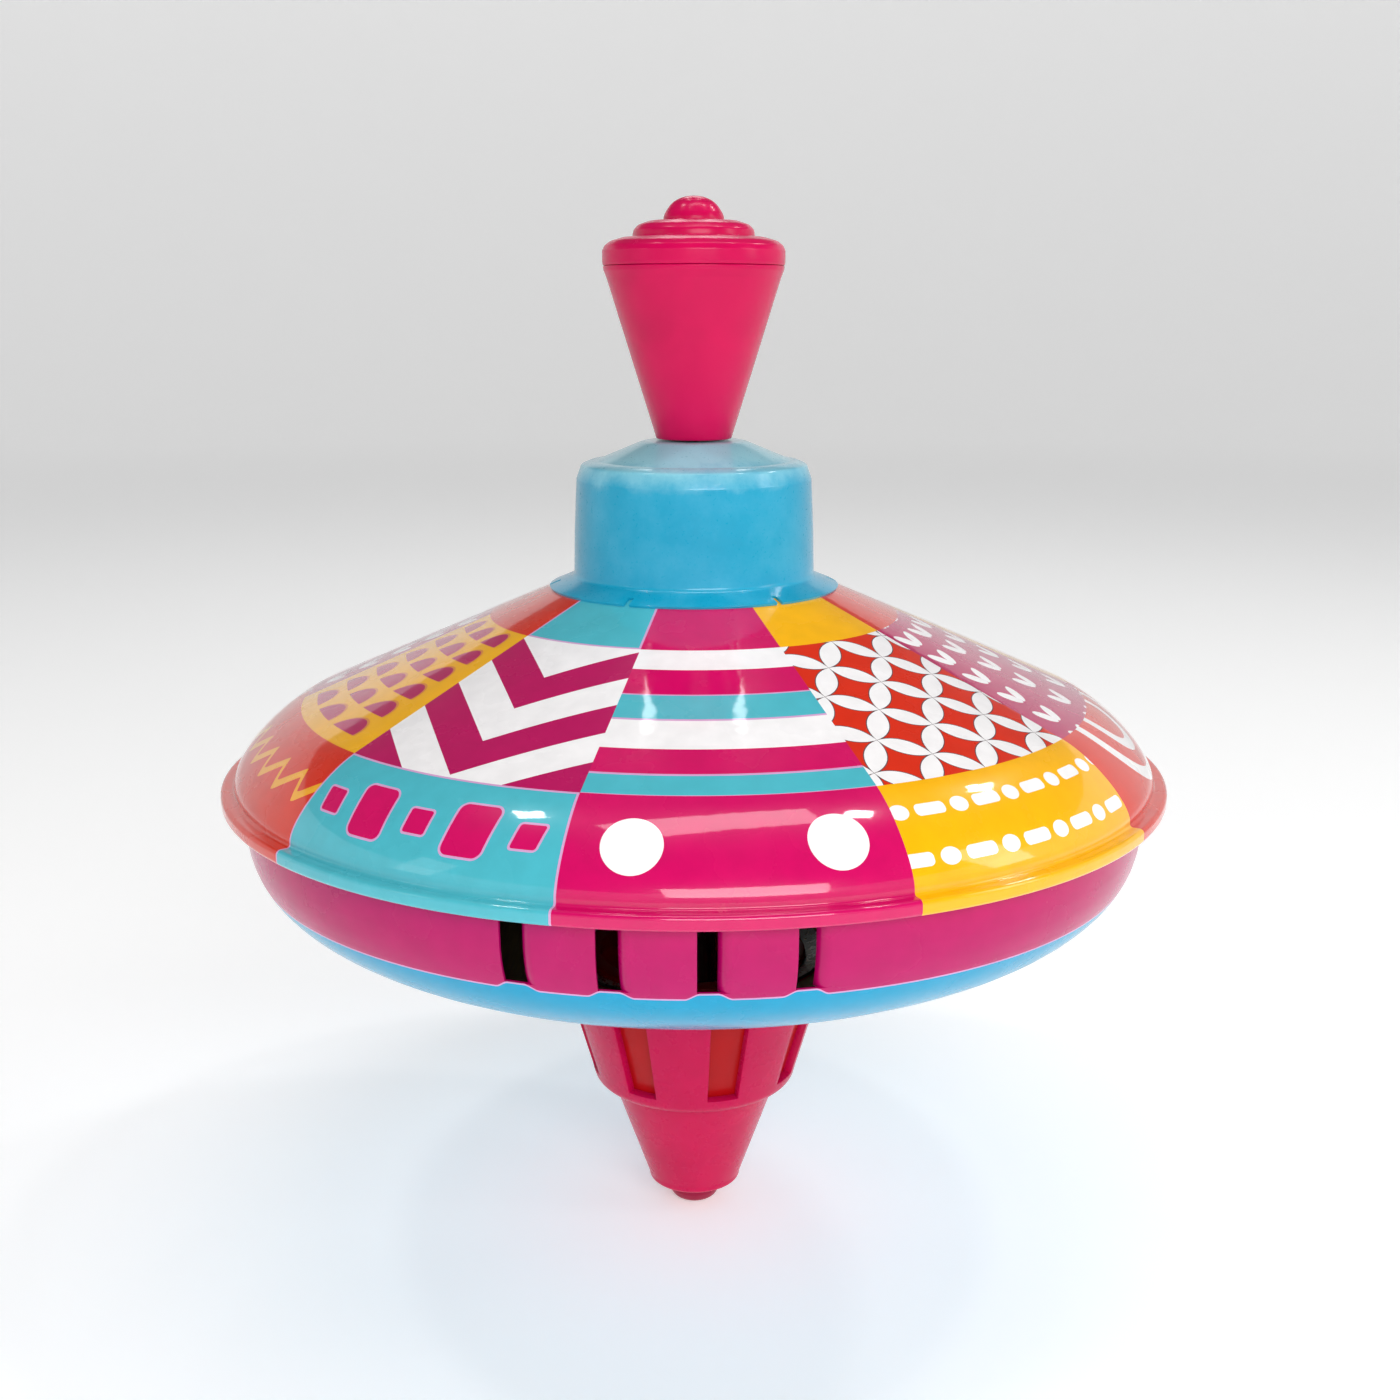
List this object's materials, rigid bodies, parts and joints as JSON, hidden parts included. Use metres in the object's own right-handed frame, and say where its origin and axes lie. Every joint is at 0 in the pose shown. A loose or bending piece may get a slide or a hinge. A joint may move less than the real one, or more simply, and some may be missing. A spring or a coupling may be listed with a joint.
{
  "type": "pump-action humming top",
  "caption": "Printed tin humming top with a plunger knob, twisted drive rod, dog clutch and ribbed plastic foot",
  "frame": {"origin": "on the floor, at the centre of the spinning tip's small flat", "axes": "+Z is the spin axis, up through the knob; -Y is the front, the side with the middle of the first group of louvres"},
  "size_m": [0.19, 0.19, 0.2116],
  "materials": {
    "upper_shell": "litho-printed, clear-lacquered tinplate",
    "lower_shell": "litho-printed, clear-lacquered tinplate",
    "neck_cap": "drawn tinplate, stoved blue lacquer",
    "neck_bush": "natural moulded acetal",
    "ratchet_seat": "moulded polystyrene",
    "drive_nut": "natural moulded nylon",
    "thrust_washer": "stamped brass",
    "guide_tube": "seamed tinplate tube",
    "drive_rod": "twisted bright steel strip",
    "rod_stop": "crimped steel collar",
    "rod_pin": "drawn steel pin",
    "knob_grip": "injection-moulded polystyrene, satin gloss",
    "knob_cap": "injection-moulded polystyrene, satin gloss",
    "foot_cage": "injection-moulded polystyrene, satin gloss",
    "foot_core": "injection-moulded polystyrene",
    "foot_retainer": "pressed steel ring",
    "spinning_tip": "moulded nylon"
  },
  "bodies": {
    "top_body": {"upper_shell": "upper_shell", "lower_shell": "lower_shell", "neck_cap": "neck_cap", "neck_bush": "neck_bush", "ratchet_seat": "ratchet_seat", "guide_tube": "guide_tube", "foot_cage": "foot_cage", "foot_core": "foot_core", "foot_retainer": "foot_retainer", "spinning_tip": "spinning_tip"},
    "washer": {"thrust_washer": "thrust_washer"},
    "nut": {"drive_nut": "drive_nut"},
    "handle": {"knob_grip": "knob_grip", "knob_cap": "knob_cap", "drive_rod": "drive_rod", "rod_stop": "rod_stop", "rod_pin": "rod_pin"}
  },
  "joints": [
    {"name": "pump_stroke", "type": "slide", "parent": "top_body", "child": "handle", "axis": [0, 0, 1], "range_m": [0, 0.1]},
    {"name": "clutch_lift", "type": "slide", "parent": "top_body", "child": "washer", "axis": [0, 0, 1], "range_m": [-0.0012, 0]},
    {"name": "nut_turn", "type": "hinge", "parent": "washer", "child": "nut", "pos_m": [0, 0, 0.15], "axis": [0, 0, 1], "continuous": true}
  ],
  "couplings": [
    {"joint": "nut_turn", "follows": "pump_stroke", "rad_per_m": -125.66}
  ]
}
